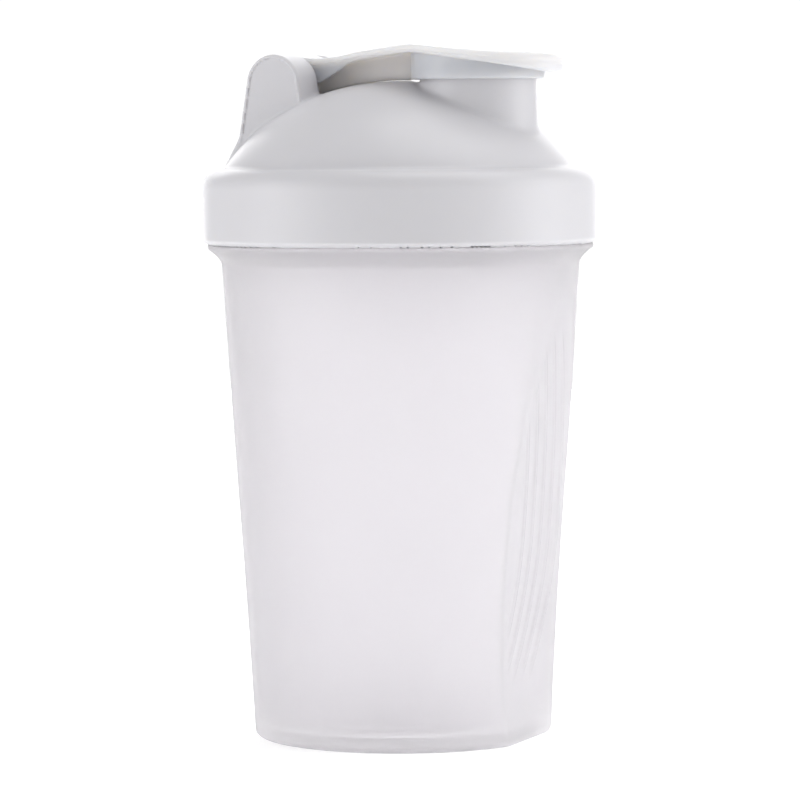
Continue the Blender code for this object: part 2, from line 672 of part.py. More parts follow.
def axis_empty(name, place, home):
    """An empty on a joint's axis, for the pieces that move about it."""
    empty = bpy.data.objects.new(name, None)
    empty.location = place
    home.objects.link(empty)
    return empty


def hang(parent, *pieces):
    """Parents pieces without moving them."""
    for piece in pieces:
        piece.parent = parent
        piece.matrix_parent_inverse = Matrix.Translation(-parent.location)


def main():
    clear_scene()
    parts = collection("shaker_bottle")
    cutters = collection("shaker_bottle_cutters")
    make_cup(parts, cutters, plastic("cup", (0.84, 0.84, 0.87), 0.45, 0.35))
    lid = make_lid(parts, cutters, plastic("lid", (0.80, 0.80, 0.82), 0.42))
    cap = make_flip_cap(parts, cutters, plastic("flip_cap", (0.82, 0.82, 0.83), 0.42))
    pin = make_pin(parts, plastic("hinge_pin", (0.78, 0.78, 0.79), 0.35))
    seal = make_seal(parts, plastic("lid_seal", (0.86, 0.86, 0.86), 0.6))
    grid = make_grid(parts, cutters, plastic("mixing_grid", (0.80, 0.80, 0.82), 0.42))
    hang(axis_empty("lid_axis", (0, 0, RIM_Z), parts), lid, pin, seal, grid)
    hang(axis_empty("flip_cap_axis", (HINGE_X, 0, HINGE_Z), parts), cap)


main()
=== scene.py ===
"""The looks of a protein shaker bottle: a frosted cup with ribbed grips, a white domed lid and a flip cap.

The three mouldings are made again here with their fillets, beads and draft. The cup is a grid of its radius
over angle and height. The lid and the flip cap are each a signed distance field, meshed and then pulled
onto its zero level. Lengths are in millimetres until a mesh is made.
"""

import json
import math

import bpy
import numpy as np
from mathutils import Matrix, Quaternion, Vector


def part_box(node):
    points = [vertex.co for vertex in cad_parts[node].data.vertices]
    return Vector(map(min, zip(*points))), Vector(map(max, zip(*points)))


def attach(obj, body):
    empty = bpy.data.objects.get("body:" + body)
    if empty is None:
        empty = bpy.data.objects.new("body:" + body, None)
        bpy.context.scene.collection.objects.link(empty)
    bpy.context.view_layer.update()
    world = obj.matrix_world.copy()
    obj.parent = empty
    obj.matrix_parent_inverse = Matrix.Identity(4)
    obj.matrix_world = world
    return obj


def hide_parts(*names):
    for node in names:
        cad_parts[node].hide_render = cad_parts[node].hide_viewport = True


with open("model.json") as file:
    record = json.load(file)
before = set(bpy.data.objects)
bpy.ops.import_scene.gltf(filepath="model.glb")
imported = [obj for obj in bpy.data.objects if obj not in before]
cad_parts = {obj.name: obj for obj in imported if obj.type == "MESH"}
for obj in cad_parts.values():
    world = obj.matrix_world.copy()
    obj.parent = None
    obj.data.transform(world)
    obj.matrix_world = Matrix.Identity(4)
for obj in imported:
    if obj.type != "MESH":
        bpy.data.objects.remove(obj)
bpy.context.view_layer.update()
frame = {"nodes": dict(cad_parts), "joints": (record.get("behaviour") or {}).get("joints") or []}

MM = 0.001
NODES = {name: [np.array(corner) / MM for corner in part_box(name)] for name in frame["nodes"]}
JOINTS = {joint["name"]: joint for joint in frame["joints"]}

# --- Dimensions in millimetres: the CAD's where they can be, and finer ones for the fillets and beads ---

SKIRT_R = NODES["lid"][1][0]
SKIRT_INNER_R = SKIRT_R - 2.1
SKIRT_BOTTOM = NODES["lid"][0][2]
SHOULDER = SKIRT_BOTTOM + 18.0  # top of the skirt
SHOULDER_R = 4.5
LID_WALL = 2.0
DOME_TOP = SKIRT_BOTTOM + 39.5
DOME_A, DOME_B = 47.8, 37.0  # half axes of the ellipse that the dome is part of

SPOUT_X = 21.6
SPOUT_TOP = DOME_TOP + 4.1
SPOUT_R, SPOUT_BASE_R, SPOUT_BORE_R = 14.2, 14.7, 12.8

HINGE_X = JOINTS["flip_cap_open"]["pos_m"][0] / MM
HINGE_Z = JOINTS["flip_cap_open"]["pos_m"][2] / MM
HINGE_R = 5.9
EAR_INNER_Y, EAR_OUTER_Y = 6.8, 17.4
EAR_TOP, EAR_TOP_R = (-26.4, 161.9), 7.3
EAR_LEAN = 9.5  # degrees that an ear's front and back slope apart below its round top
EAR_WALL, EAR_CORE_BOTTOM, EAR_CORE_TOP = 1.7, 136, 157.6
PIN_HOLE_R = 2.05
PIN_NEAR_Y = NODES["hinge_pin"][0][1]

RIM_Z = NODES["cup"][1][2]
COLLAR_R = NODES["cup"][1][1]
COLLAR_TOP = SKIRT_BOTTOM - 0.5
NECK_R, NECK_INNER_R = 44.6, 42.8
WALL = 1.6
WALL_BASE_R, WALL_SLOPE = 36.9, 0.0632
WALL_TOP = COLLAR_TOP - 5.1
FLOOR_FILLET, FOOT_FILLET, NECK_FILLET, COLLAR_EDGE = 3.0, 2.0, 0.6, 0.75
FOOT_INNER_R, FOOT_RECESS, FLOOR = 31.4, 1.7, 3.5

GRIP_TURN = 4.0  # degrees about Z from the spout's direction
GRIP_X, GRIP_Z, GRIP_SCOOP_R = 33.5, 8.0, 489.0
GRIP_EDGE = 0.4
GRIP_HALF = 34  # degrees to each side of a grip's middle that its width stays inside
GRIP_FACING = 0.3  # cosine of the angle beyond which a grip's plane is left out
FAR_OUT = 1e3  # a radius that is outside everything
RIB_MIDDLES = (-9.5, -3.5, 2.5, 8.5, 14.4)  # from the grip's middle line, at the waist
RIB_WAIST, RIB_TOP, RIB_BOTTOM = 52.0, 103.0, 15.0
RIB_BOW = 16.0  # how much further over a rib lies at its ends than at its waist
RIB_HALF, RIB_HEIGHT, RIB_EDGE = 1.5, 0.42, 1.4

# The cup's thread, and the lid's just below it
THREAD_LEAD, THREAD_START, THREAD_TURNS = 8.0, 126.5, 1.05
THREAD_DEPTH, THREAD_ROOT, THREAD_CREST, THREAD_DROP = 1.7, 1.0, 0.5, 1.7

SOCKET_R, SOCKET_INNER_R, SOCKET_BOTTOM = 42.3, 41.05, 134.2
GROOVE_Z, GROOVE_DEEP = 137.6, 0.3  # where the mixing grid clips in

CAP_ROOT_HALF, CAP_HEAD_HALF, CAP_HEAD_X = 6.3, NODES["flip_cap"][1][1], 22.0
CAP_TIP_X = NODES["flip_cap"][1][0]
CAP_PLATE, CAP_RIM, CAP_CROWN = 1.7, 1.7, 0.7
# Along the cap's middle: (x, height of its top), then (x, depth of its turned-down edge)
CAP_TOP = [(-27.4, 168.9), (-20, 168.3), (-15, 168.6), (-8, 169.8), (0, 170.7), (10, 171.6), (20, 170.8),
           (30, 169.8), (39, 169.0), (43.3, 168.3)]
CAP_EDGE = [(-27.4, 6.0), (-20, 6.0), (-16, 4.2), (-11, 2.2), (-5, 1.8), (20, 1.8), (33, 2.6), (43.3, 3.8)]
RING_R, RING_INNER_R, RING_BOTTOM = 16.5, 15.0, 162.7
PLUG_R, PLUG_TIP_R, PLUG_WALL, PLUG_BOTTOM = 12.3, 11.6, 1.4, 163.4
WEB_HALF, WEB_REAR, WEB_FRONT = 1.2, -25.0, 5.9
WEB_LIFT, WEB_SETTLE = 0.35, 0.23  # its gap to the dome at the rear, and how much less it is further on
WEB_RISE, WEB_RISE_X = 1.5, 2.5  # how far its underside turns up at the front, and from where


# --- Distance fields ------------------------------------------------------------------------------------

def rounded_max(a, b, radius):
    """Where both fields hold, with its outer corner rounded."""
    u, v = np.maximum(a + radius, 0), np.maximum(b + radius, 0)
    return np.minimum(np.maximum(a, b) + radius, 0) + np.hypot(u, v) - radius


def rounded_min(a, b, radius):
    """Where either field holds, with a fillet in its inner corner."""
    return -rounded_max(-a, -b, radius)


def rounded_blend(a, b, width):
    """The lesser of two radii, rounded where they cross."""
    near = np.maximum(width - np.abs(a - b), 0) / width
    return np.minimum(a, b) - near**2 * width / 4


def smoothstep(t):
    """From 0 to 1, level at both ends."""
    t = np.clip(t, 0, 1)
    return t * t * (3 - 2 * t)


def ellipse(x, y, a, b):
    """Nearly the distance to an ellipse of those half axes."""
    near = np.sqrt((x / a) ** 2 + (y / b) ** 2)
    slope = np.sqrt((x / a**2) ** 2 + (y / b**2) ** 2) + 1e-9
    return near * (near - 1) / slope


def smooth_curve(points, x):
    """A smooth curve through (x, y) points: cubic pieces whose slopes come from the neighbours."""
    px, py = np.array(points, float).T
    slopes = np.gradient(py, px)
    i = np.clip(np.searchsorted(px, x, side="right") - 1, 0, len(px) - 2)
    step = px[i + 1] - px[i]
    t = np.clip((x - px[i]) / step, 0, 1)
    return ((2 * t**3 - 3 * t**2 + 1) * py[i] + (t**3 - 2 * t**2 + t) * step * slopes[i]
            + (3 * t**2 - 2 * t**3) * py[i + 1] + (t**3 - t**2) * step * slopes[i + 1])


def helix_distance(angle, z, drop):
    """Height from the thread's middle line, and how far the thread stands there from 0 to 1."""
    first = THREAD_START - drop
    turns = np.round((z - first) / THREAD_LEAD - angle / (2 * math.pi)) + angle / (2 * math.pi)
    away = z - first - THREAD_LEAD * turns
    stands = smoothstep(np.minimum(turns, THREAD_TURNS - turns) / 0.08)
    return np.abs(away), stands


# --- Meshing a distance field ---------------------------------------------------------------------------

def surface_net(field, xs, ys, zs):
    """(points, quads) of the field's zero level on a grid, one point to each cell that it crosses."""
    values = np.empty((len(xs), len(ys), len(zs)), np.float32)
    yy, zz = np.meshgrid(ys, zs, indexing="ij")
    for i, x in enumerate(xs):
        values[i] = field(np.full_like(yy, x), yy, zz)
    inside = values < 0
    grid = (xs, ys, zs)
    shape = tuple(n - 1 for n in values.shape)
    total = np.zeros((*shape, 3), np.float32)
    count = np.zeros(shape, np.uint8)
    crossings = []
    for axis in range(3):
        low = [slice(None)] * 3
        high = [slice(None)] * 3
        low[axis], high[axis] = slice(None, -1), slice(1, None)
        low, high = tuple(low), tuple(high)
        crossed = inside[low] != inside[high]
        crossings.append(crossed)
        i, j, k = np.nonzero(crossed)
        at = [g[n] for g, n in zip(grid, (i, j, k))]
        v0, v1 = values[low][i, j, k], values[high][i, j, k]
        index = (i, j, k)[axis]
        at[axis] = grid[axis][index] + v0 / (v0 - v1) * (grid[axis][index + 1] - grid[axis][index])
        point = np.stack(at, axis=1)
        others = [a for a in range(3) if a != axis]
        for da in (0, 1):
            for db in (0, 1):
                cell = [i, j, k]
                cell[others[0]] = cell[others[0]] - da
                cell[others[1]] = cell[others[1]] - db
                keep = np.ones(len(i), bool)
                for a in others:
                    keep &= (cell[a] >= 0) & (cell[a] < shape[a])
                where = tuple(c[keep] for c in cell)
                np.add.at(total, where, point[keep])
                np.add.at(count, where, 1)
    active = count > 0
    points = total[active] / count[active][:, None]
    number = np.full(shape, -1, np.int64)
    number[active] = np.arange(active.sum())
    quads = []
    for axis in range(3):
        a, b = (axis + 1) % 3, (axis + 2) % 3
        cell = np.stack(np.nonzero(crossings[axis]), axis=1)
        cell = cell[(cell[:, a] > 0) & (cell[:, b] > 0) & (cell[:, a] < shape[a]) & (cell[:, b] < shape[b])]
        corners = []
        for da, db in ((1, 1), (0, 1), (0, 0), (1, 0)):
            corner = cell.copy()
            corner[:, a] -= da
            corner[:, b] -= db
            corners.append(number[tuple(corner.T)])
        quad = np.stack(corners, axis=1)
        outward = inside[tuple(cell.T)]
        quads.append(np.where(outward[:, None], quad, quad[:, ::-1]))
    return points.astype(float), np.concatenate(quads)


def gradient(field, points, step=0.01):
    """The field's slope along x, y and z at each point."""
    x, y, z = points.T
    along_x = field(x + step, y, z) - field(x - step, y, z)
    along_y = field(x, y + step, z) - field(x, y - step, z)
    along_z = field(x, y, z + step) - field(x, y, z - step)
    return np.stack([along_x, along_y, along_z], axis=1) / (2 * step)


def moulding(name, field, xs, ys, zs):
    """An object with the field's zero level for its surface and the field's own normals."""
    points, quads = surface_net(field, xs, ys, zs)
    for _ in range(5):
        slope = gradient(field, points)
        value = field(*points.T)
        move = -(value / np.maximum((slope**2).sum(axis=1), 0.05))[:, None] * slope
        length = np.linalg.norm(move, axis=1, keepdims=True)
        points += move * np.minimum(1, 0.25 / np.maximum(length, 1e-9))
    normals = gradient(field, points)
    normals /= np.maximum(np.linalg.norm(normals, axis=1, keepdims=True), 1e-9)
    return mesh_object(name, points, quads, normals)


def mesh_object(name, points, faces, normals=None):
    """A smooth-shaded object from points in millimetres and quads or triangles."""
    mesh = bpy.data.meshes.new(name)
    mesh.from_pydata((np.asarray(points) * MM).tolist(), [], [[int(v) for v in face] for face in faces])
    mesh.polygons.foreach_set("use_smooth", [True] * len(mesh.polygons))
    mesh.update()
    if normals is not None:
        mesh.normals_split_custom_set_from_vertices(normals.tolist())
    made = bpy.data.objects.new(name, mesh)
    bpy.context.scene.collection.objects.link(made)
    return made


def spaced(*stretches):
    """Grid levels: each stretch is (from, to, step), and each begins where the last one ends."""
    levels = [np.array([stretches[0][0]], float)]
    for start, end, step in stretches:
        levels.append(np.linspace(start, end, max(2, round((end - start) / step) + 1))[1:])
    return np.concatenate(levels)


# --- Cup ------------------------------------------------------------------------------------------------

def wall_radius(z):
    """Outer radius of the tapered wall."""
    return WALL_BASE_R + WALL_SLOPE * z


def grip_depth(z):
    """Distance of a grip's surface from the plane through the bottle's axis."""
    return GRIP_X + GRIP_SCOOP_R - np.sqrt(GRIP_SCOOP_R**2 - (z - GRIP_Z) ** 2)


def rib_height(across, z):
    """How far the ribs stand out of a grip, at a distance from its middle line and a height.

    The ribs lie side by side and bow the same way, furthest out at their waist."""
    above = (z - RIB_WAIST) / (RIB_TOP - RIB_WAIST)
    below = (RIB_WAIST - z) / (RIB_WAIST - RIB_BOTTOM)
    bow = RIB_BOW * np.where(z > RIB_WAIST, above, below) ** 2
    half_width = np.sqrt(np.maximum(wall_radius(z) ** 2 - grip_depth(z) ** 2, 0))
    height = np.zeros_like(across)
    for middle in RIB_MIDDLES:
        offset = middle - bow
        bump = smoothstep(1 - np.abs(across - offset) / RIB_HALF)
        inside = smoothstep((half_width - RIB_EDGE - np.abs(offset)) / 2)
        height = np.maximum(height, bump * inside)
    ends = smoothstep((z - RIB_BOTTOM) / 5) * smoothstep((RIB_TOP - z) / 8)
    return RIB_HEIGHT * height * ends


def cup_radius(radius, z, angle, inset, with_ribs):
    """The radius where the cup's turned form meets its grips. inset moves the grips inward."""
    result = radius
    for turn in (GRIP_TURN, GRIP_TURN + 180):
        off = angle - math.radians(turn)
        facing = np.cos(off)
        slant = np.maximum(facing, GRIP_FACING)
        flat = np.where(facing > GRIP_FACING, (grip_depth(z) - inset) / slant, FAR_OUT)
        if with_ribs:
            flat = flat + rib_height(flat * np.sin(off), z) / slant
        flat = np.where(z < WALL_TOP - 2, flat, FAR_OUT)
        result = rounded_blend(result, flat, GRIP_EDGE)
    return result


def profile_arc(centre, radius, start, end, steps):
    """(radius, z) points along an arc of the profile, between two angles in degrees."""
    angles = np.radians(np.linspace(start, end, steps + 1))
    return [(centre[0] + radius * math.cos(a), centre[1] + radius * math.sin(a)) for a in angles]


def cup_rows():
    """The cup's profile from the middle of its floor, up inside, over the rim and down outside to the foot.

    Each row is (radius, z, inset of the grips, whether it has ribs, whether it has the thread)."""
    rows = []

    def add(r, z, inset=0.0, ribs=False, thread=False):
        rows.append((r, z, inset, ribs, thread))

    for r in (8, 16, 24, 30):
        add(r, FLOOR, WALL)
    corner_z = FLOOR + FLOOR_FILLET
    inner_r = wall_radius(corner_z) - WALL
    for r, z in profile_arc((inner_r - FLOOR_FILLET, corner_z), FLOOR_FILLET, -90, 0, 6):
        add(r, z, WALL + 0.4 * (inner_r - r))
    for z in np.linspace(corner_z + 3, WALL_TOP - 2, 34):
        add(wall_radius(z) - WALL, z, WALL)
    for z in np.linspace(COLLAR_TOP, RIM_Z - 0.7, 8):
        add(NECK_INNER_R, z, WALL)
    rim_r = (NECK_R - NECK_INNER_R) / 2
    for r, z in profile_arc((NECK_INNER_R + rim_r, RIM_Z - rim_r), rim_r, 180, 0, 8):
        add(r, z)
    for z in np.arange(RIM_Z - 1.4, COLLAR_TOP + 0.8, -0.45):
        add(NECK_R, z, thread=True)
    for r, z in profile_arc((NECK_R + NECK_FILLET, COLLAR_TOP + NECK_FILLET), NECK_FILLET, 180, 270, 3):
        add(r, z)
    for r, z in profile_arc((COLLAR_R - COLLAR_EDGE, COLLAR_TOP - COLLAR_EDGE), COLLAR_EDGE, 90, -50, 8):
        add(r, z)
    wall_r = wall_radius(WALL_TOP)
    lip_r, lip_z = COLLAR_R - 0.3, COLLAR_TOP - 1.35
    for t in np.linspace(0.15, 1, 7):
        add(wall_r + (lip_r - wall_r) * (1 - t) ** 1.7, lip_z + (WALL_TOP - lip_z) * t)
    for z in np.linspace(WALL_TOP - 0.5, 3.0, 120):
        add(wall_radius(z), z, ribs=True)
    foot_r = wall_radius(FOOT_FILLET)
    for r, z in profile_arc((foot_r - FOOT_FILLET, FOOT_FILLET), FOOT_FILLET, -8, -90, 7):
        add(r, z, 0.3 * (foot_r - r))
    add(FOOT_INNER_R + 0.6, 0, 1.1)
    add(FOOT_INNER_R, 0.3, 1.5)
    add(FOOT_INNER_R - 0.4, FOOT_RECESS - 0.3, 2.0)
    add(FOOT_INNER_R - 0.9, FOOT_RECESS, 2.5)
    for r in (24, 16, 8):
        add(r, FOOT_RECESS, 4)
    return rows


def make_cup():
    """The cup as a grid: its profile's rows by angles that lie closer together across each grip."""
    angles = []
    for turn in (GRIP_TURN, GRIP_TURN + 180):
        angles.append(np.linspace(turn - GRIP_HALF, turn + GRIP_HALF, 126))
        angles.append(np.linspace(turn + GRIP_HALF, turn + 180 - GRIP_HALF, 62)[1:-1])
    angles = np.radians(np.sort(np.concatenate(angles)))
    rows = cup_rows()
    points, count = [], len(angles)
    for radius, z, inset, ribs, thread in rows:
        r = cup_radius(np.full(count, float(radius)), np.full(count, float(z)), angles, inset, ribs)
        if thread:
            away, stands = helix_distance(np.mod(angles, 2 * math.pi), z, 0)
            ramp = smoothstep((THREAD_ROOT + 0.1 - away) / (THREAD_ROOT - THREAD_CREST + 0.2))
            r = r + THREAD_DEPTH * ramp * stands
        points.append(np.stack([r * np.cos(angles), r * np.sin(angles), np.full(count, z)], axis=1))
    floor_middle, foot_middle = len(rows) * count, len(rows) * count + 1
    points = np.concatenate([*points, [[0, 0, FLOOR]], [[0, 0, FOOT_RECESS]]])
    here = np.arange(count)
    following = (here + 1) % count
    faces = []
    for row in range(len(rows) - 1):
        a, b = row * count + here, row * count + following
        faces.extend(np.stack([a, a + count, b + count, b], axis=1).tolist())
    faces.extend([[floor_middle, int(a), int(b)] for a, b in zip(here, following)])
    last_row = (len(rows) - 1) * count
    faces.extend([[last_row + int(b), last_row + int(a), foot_middle] for a, b in zip(here, following)])
    return mesh_object("cup_moulding", points, faces)


# --- Lid ------------------------------------------------------------------------------------------------

def dome_field(r, z, inset=0.0):
    """The dome, or with an inset its hollow."""
    return ellipse(r, z - (DOME_TOP - DOME_B), DOME_A - inset, DOME_B - inset)


def dome_height(r):
    """Height of the dome's outer face."""
    return DOME_TOP - DOME_B + DOME_B * np.sqrt(1 - (r / DOME_A) ** 2)


def ear_outline(x, z):
    """The side view of an ear: a round top on a foot that widens downward."""
    across, up = np.abs(x - EAR_TOP[0]), z - EAR_TOP[1]
    lean = math.radians(EAR_LEAN)
    side = across * math.cos(lean) + up * math.sin(lean) - EAR_TOP_R
    on_side = up * math.cos(lean) < across * math.sin(lean)
    return np.where(on_side, side, np.hypot(across, up) - EAR_TOP_R)


def ear_field(x, y, z):
    """Both ears, their outer faces sunk a little inside a narrow border."""
    outline = ear_outline(x, z)
    middle, half = (EAR_INNER_Y + EAR_OUTER_Y) / 2, (EAR_OUTER_Y - EAR_INNER_Y) / 2
    solid = rounded_max(outline, np.abs(np.abs(y) - middle) - half, 0.7)
    sunk = rounded_max(outline + 1.0, EAR_OUTER_Y - 0.3 - np.abs(y), 0.2)
    return rounded_max(solid, -sunk, 0.2)


def ear_cores(x, y, z):
    """The pockets inside the ears' feet, open below and narrower above."""
    rise = np.clip((z - EAR_CORE_BOTTOM) / (EAR_CORE_TOP - EAR_CORE_BOTTOM), 0, 1)
    near, far = EAR_INNER_Y + EAR_WALL + 0.5 * rise, EAR_OUTER_Y - EAR_WALL - 0.5 * rise
    rear, front = -36.4 + 3.8 * rise, -19.4 - 1.6 * rise
    ay = np.abs(y)
    sides = rounded_max(np.maximum(near - ay, ay - far), np.maximum(rear - x, x - front), 0.6)
    return rounded_max(sides, z - EAR_CORE_TOP, 0.6)


def lid_field(x, y, z):
    """The lid: skirt, dome, spout and ears, less its hollow and bores, then its socket ring and thread."""
    r = np.hypot(x, y)
    skirt = rounded_max(rounded_max(r - SKIRT_R, z - SHOULDER, SHOULDER_R), SKIRT_BOTTOM - z, 0.8)
    body = rounded_min(skirt, dome_field(r, z), 0.9)
    from_spout = np.hypot(x - SPOUT_X, y)
    spout_r = SPOUT_R + (SPOUT_BASE_R - SPOUT_R) * np.clip((SPOUT_TOP - z) / 18, 0, 1)
    spout = rounded_max(rounded_max(from_spout - spout_r, z - SPOUT_TOP, 0.5), 140 - z, 0.1)
    body = rounded_min(body, spout, 1.1)
    ears = np.maximum(ear_field(x, y, z), 140 - z)
    rear_foot = smoothstep((-33 - x) / 6)
    body = rounded_min(body, ears, 0.9 + 3.2 * rear_foot)
    seat = SHOULDER - LID_WALL
    bell = rounded_max(r - SKIRT_INNER_R, z - seat, 1.2)
    hollow = rounded_min(bell, np.maximum(dome_field(r, z, LID_WALL), 130 - z), 0.6)
    result = rounded_max(body, -hollow, 0.5)
    result = rounded_max(result, -rounded_max(from_spout - SPOUT_BORE_R, 138 - z, 0.1), 0.55)
    result = rounded_max(result, -ear_cores(x, y, z), 0.3)
    pin_hole = np.maximum(np.hypot(x - HINGE_X, z - HINGE_Z) - PIN_HOLE_R, PIN_NEAR_Y - 0.3 - y)
    result = rounded_max(result, -pin_hole, 0.25)
    ring = rounded_max(np.abs(r - (SOCKET_R + SOCKET_INNER_R) / 2) - (SOCKET_R - SOCKET_INNER_R) / 2,
                       SOCKET_BOTTOM - z, 0.35)
    ring = np.maximum(ring, z - seat - 1)
    groove = rounded_max(SOCKET_INNER_R - GROOVE_DEEP - r + 2 * GROOVE_DEEP, np.abs(z - GROOVE_Z) - 0.7, 0.2)
    groove = np.maximum(groove, r - SOCKET_INNER_R - GROOVE_DEEP)
    ring = np.maximum(ring, -groove)
    result = rounded_min(result, ring, 0.5)
    away, stands = helix_distance(np.mod(np.arctan2(y, x), 2 * math.pi), z, THREAD_DROP)
    crest = SKIRT_INNER_R - THREAD_DEPTH * stands + 2 * (stands < 0.02)
    half = THREAD_CREST + (THREAD_ROOT - THREAD_CREST) * np.clip((r - crest) / THREAD_DEPTH, 0, 1.3)
    ridge = rounded_max(crest - r, away - half, 0.25)
    ridge = np.maximum(ridge, r - SKIRT_INNER_R - 0.8)
    return rounded_min(result, ridge, 0.3)


def make_lid():
    """The lid's mesh, on a grid that is finer at the ears' sides, the skirt's edge and the dome's foot."""
    xs = spaced((-49.9, -39, 0.8), (-39, -20, 0.52), (-20, 5, 0.95), (5, 38, 0.74), (38, 49.9, 0.8))
    ys = spaced((-49.9, -19, 0.85), (-19, -16, 0.38), (-16, 16, 0.70), (16, 19, 0.38), (19, 49.9, 0.85))
    zs = spaced((122.4, 124.4, 0.22), (124.4, 139, 0.85), (139, 143, 0.5), (143, 171, 0.66))
    return moulding("lid_moulding", lid_field, xs, ys, zs)


# --- Flip cap -------------------------------------------------------------------------------------------

def cap_outline(x, y):
    """Nearly the distance to the cap's outline in plan, and its half width.

    It is narrow at the hinge and a rounded paddle over the spout."""
    ay = np.abs(y)
    rise = (x + 16) / (CAP_HEAD_X + 16)
    half = CAP_ROOT_HALF + (CAP_HEAD_HALF - CAP_ROOT_HALF) * smoothstep(rise)
    inside = (rise > 0) & (rise < 1)
    slope = np.where(inside, (CAP_HEAD_HALF - CAP_ROOT_HALF) * 6 * rise * (1 - rise) / (CAP_HEAD_X + 16), 0)
    lever = (ay - half) / np.sqrt(1 + slope**2)
    head = ellipse(x - CAP_HEAD_X, y, CAP_TIP_X - CAP_HEAD_X, CAP_HEAD_HALF)
    return np.where(x < CAP_HEAD_X, lever, head), np.where(x < CAP_HEAD_X, half, CAP_HEAD_HALF)


def cap_field(x, y, z):
    """The flip cap: a crowned plate with a turned-down edge, knuckle, web, outer ring and plug."""
    outline, half = cap_outline(x, y)
    middle = smooth_curve(CAP_TOP, x)
    edge = smooth_curve(CAP_EDGE, x)
    crown = CAP_CROWN * half / CAP_HEAD_HALF
    top = middle - crown * np.minimum(np.abs(y) / half, 1) ** 2
    side_top = middle - crown
    soft = 0.45 + 1.1 * smoothstep((x - 33) / 9)
    under_lip = outline + 0.35 * smoothstep((side_top - 0.95 - z) / 0.35) * (1 - smoothstep((x - 30) / 8))
    above = rounded_max(under_lip, z - top, soft)
    plate = rounded_max(above, top - CAP_PLATE - z, 0.3)
    band = rounded_max(above, side_top - edge - z, 0.3 + 0.9 * smoothstep((x - 33) / 9))
    band = rounded_max(band, -CAP_RIM - outline, 0.3)
    cap = rounded_min(plate, band, 0.5)
    cap = rounded_max(cap, HINGE_X + 1.5 - x, 0.2)
    knuckle = rounded_max(np.hypot(x - HINGE_X, z - HINGE_Z) - HINGE_R, np.abs(y) - (EAR_INNER_Y - 0.4), 0.4)
    cap = rounded_min(cap, knuckle, 0.8)
    lift = WEB_LIFT - WEB_SETTLE * smoothstep((x + 20) / 15)
    lift = lift + WEB_RISE * smoothstep((x - WEB_RISE_X) / (WEB_FRONT - WEB_RISE_X))
    under = dome_height(np.clip(np.abs(x), 0, 30)) + lift
    web = rounded_max(np.abs(y) - WEB_HALF, np.maximum(under - z, z - middle + 0.8), 0.3)
    web = np.maximum(web, np.maximum(WEB_REAR - x, x - WEB_FRONT))
    cap = rounded_min(cap, web, 0.6)
    from_spout = np.hypot(x - SPOUT_X, y)
    ceiling = z - middle + 0.8
    ring = rounded_max(np.abs(from_spout - (RING_R + RING_INNER_R) / 2) - (RING_R - RING_INNER_R) / 2,
                       RING_BOTTOM - z, 0.45)
    cap = rounded_min(cap, np.maximum(ring, ceiling), 0.5)
    plug_r = PLUG_TIP_R + (PLUG_R - PLUG_TIP_R) * np.clip((z - PLUG_BOTTOM) / 3, 0, 1)
    plug = rounded_max(np.abs(from_spout - plug_r + PLUG_WALL / 2) - PLUG_WALL / 2, PLUG_BOTTOM - z, 0.4)
    cap = rounded_min(cap, np.maximum(plug, ceiling), 0.4)
    hole = np.hypot(x - HINGE_X, z - HINGE_Z) - PIN_HOLE_R
    return rounded_max(cap, -hole, 0.25)


def make_flip_cap():
    """The flip cap's mesh, on a grid that is finer at the hinge and the thumb tab."""
    xs = spaced((-34, -14, 0.36), (-14, 36, 0.5), (36, 45, 0.33))
    ys = spaced((-19, 19, 0.44))
    zs = spaced((156.5, 162, 0.4), (162, 172.5, 0.3))
    return moulding("flip_cap_moulding", cap_field, xs, ys, zs)


# --- Materials ------------------------------------------------------------------------------------------

def moulded_plastic(name, light, dark, roughness, **sockets):
    """Moulded plastic: faint cloudiness, a varying satin and the fine grain of the mould's steel."""
    material = bpy.data.materials.new(name)
    material.use_nodes = True
    tree = material.node_tree
    shader = tree.nodes["Principled BSDF"]
    place = tree.nodes.new("ShaderNodeTexCoord")

    def noise(scale, detail):
        node = tree.nodes.new("ShaderNodeTexNoise")
        node.inputs["Scale"].default_value = scale
        node.inputs["Detail"].default_value = detail
        tree.links.new(place.outputs["Object"], node.inputs["Vector"])
        return node.outputs["Fac"]

    def ramp(source, low, high):
        node = tree.nodes.new("ShaderNodeMapRange")
        node.inputs["To Min"].default_value = low
        node.inputs["To Max"].default_value = high
        node.inputs["From Min"].default_value = 0.3
        node.inputs["From Max"].default_value = 0.7
        tree.links.new(source, node.inputs["Value"])
        return node.outputs["Result"]

    mix = tree.nodes.new("ShaderNodeMix")
    mix.data_type = "RGBA"
    mix.inputs["A"].default_value = (*dark, 1)
    mix.inputs["B"].default_value = (*light, 1)
    tree.links.new(ramp(noise(35, 3), 0, 1), mix.inputs["Factor"])
    tree.links.new(mix.outputs["Result"], shader.inputs["Base Color"])
    tree.links.new(ramp(noise(90, 4), roughness - 0.04, roughness + 0.04), shader.inputs["Roughness"])
    bump = tree.nodes.new("ShaderNodeBump")
    bump.inputs["Strength"].default_value = 0.25
    bump.inputs["Distance"].default_value = 0.00006
    tree.links.new(noise(1600, 3), bump.inputs["Height"])
    tree.links.new(bump.outputs["Normal"], shader.inputs["Normal"])
    for socket, value in sockets.items():
        shader.inputs[socket.replace("_", " ")].default_value = value
    return material


def dress(piece, material):
    """Give the whole piece this one material."""
    piece.data.materials.clear()
    piece.data.materials.append(material)


# --- The pieces -----------------------------------------------------------------------------------------

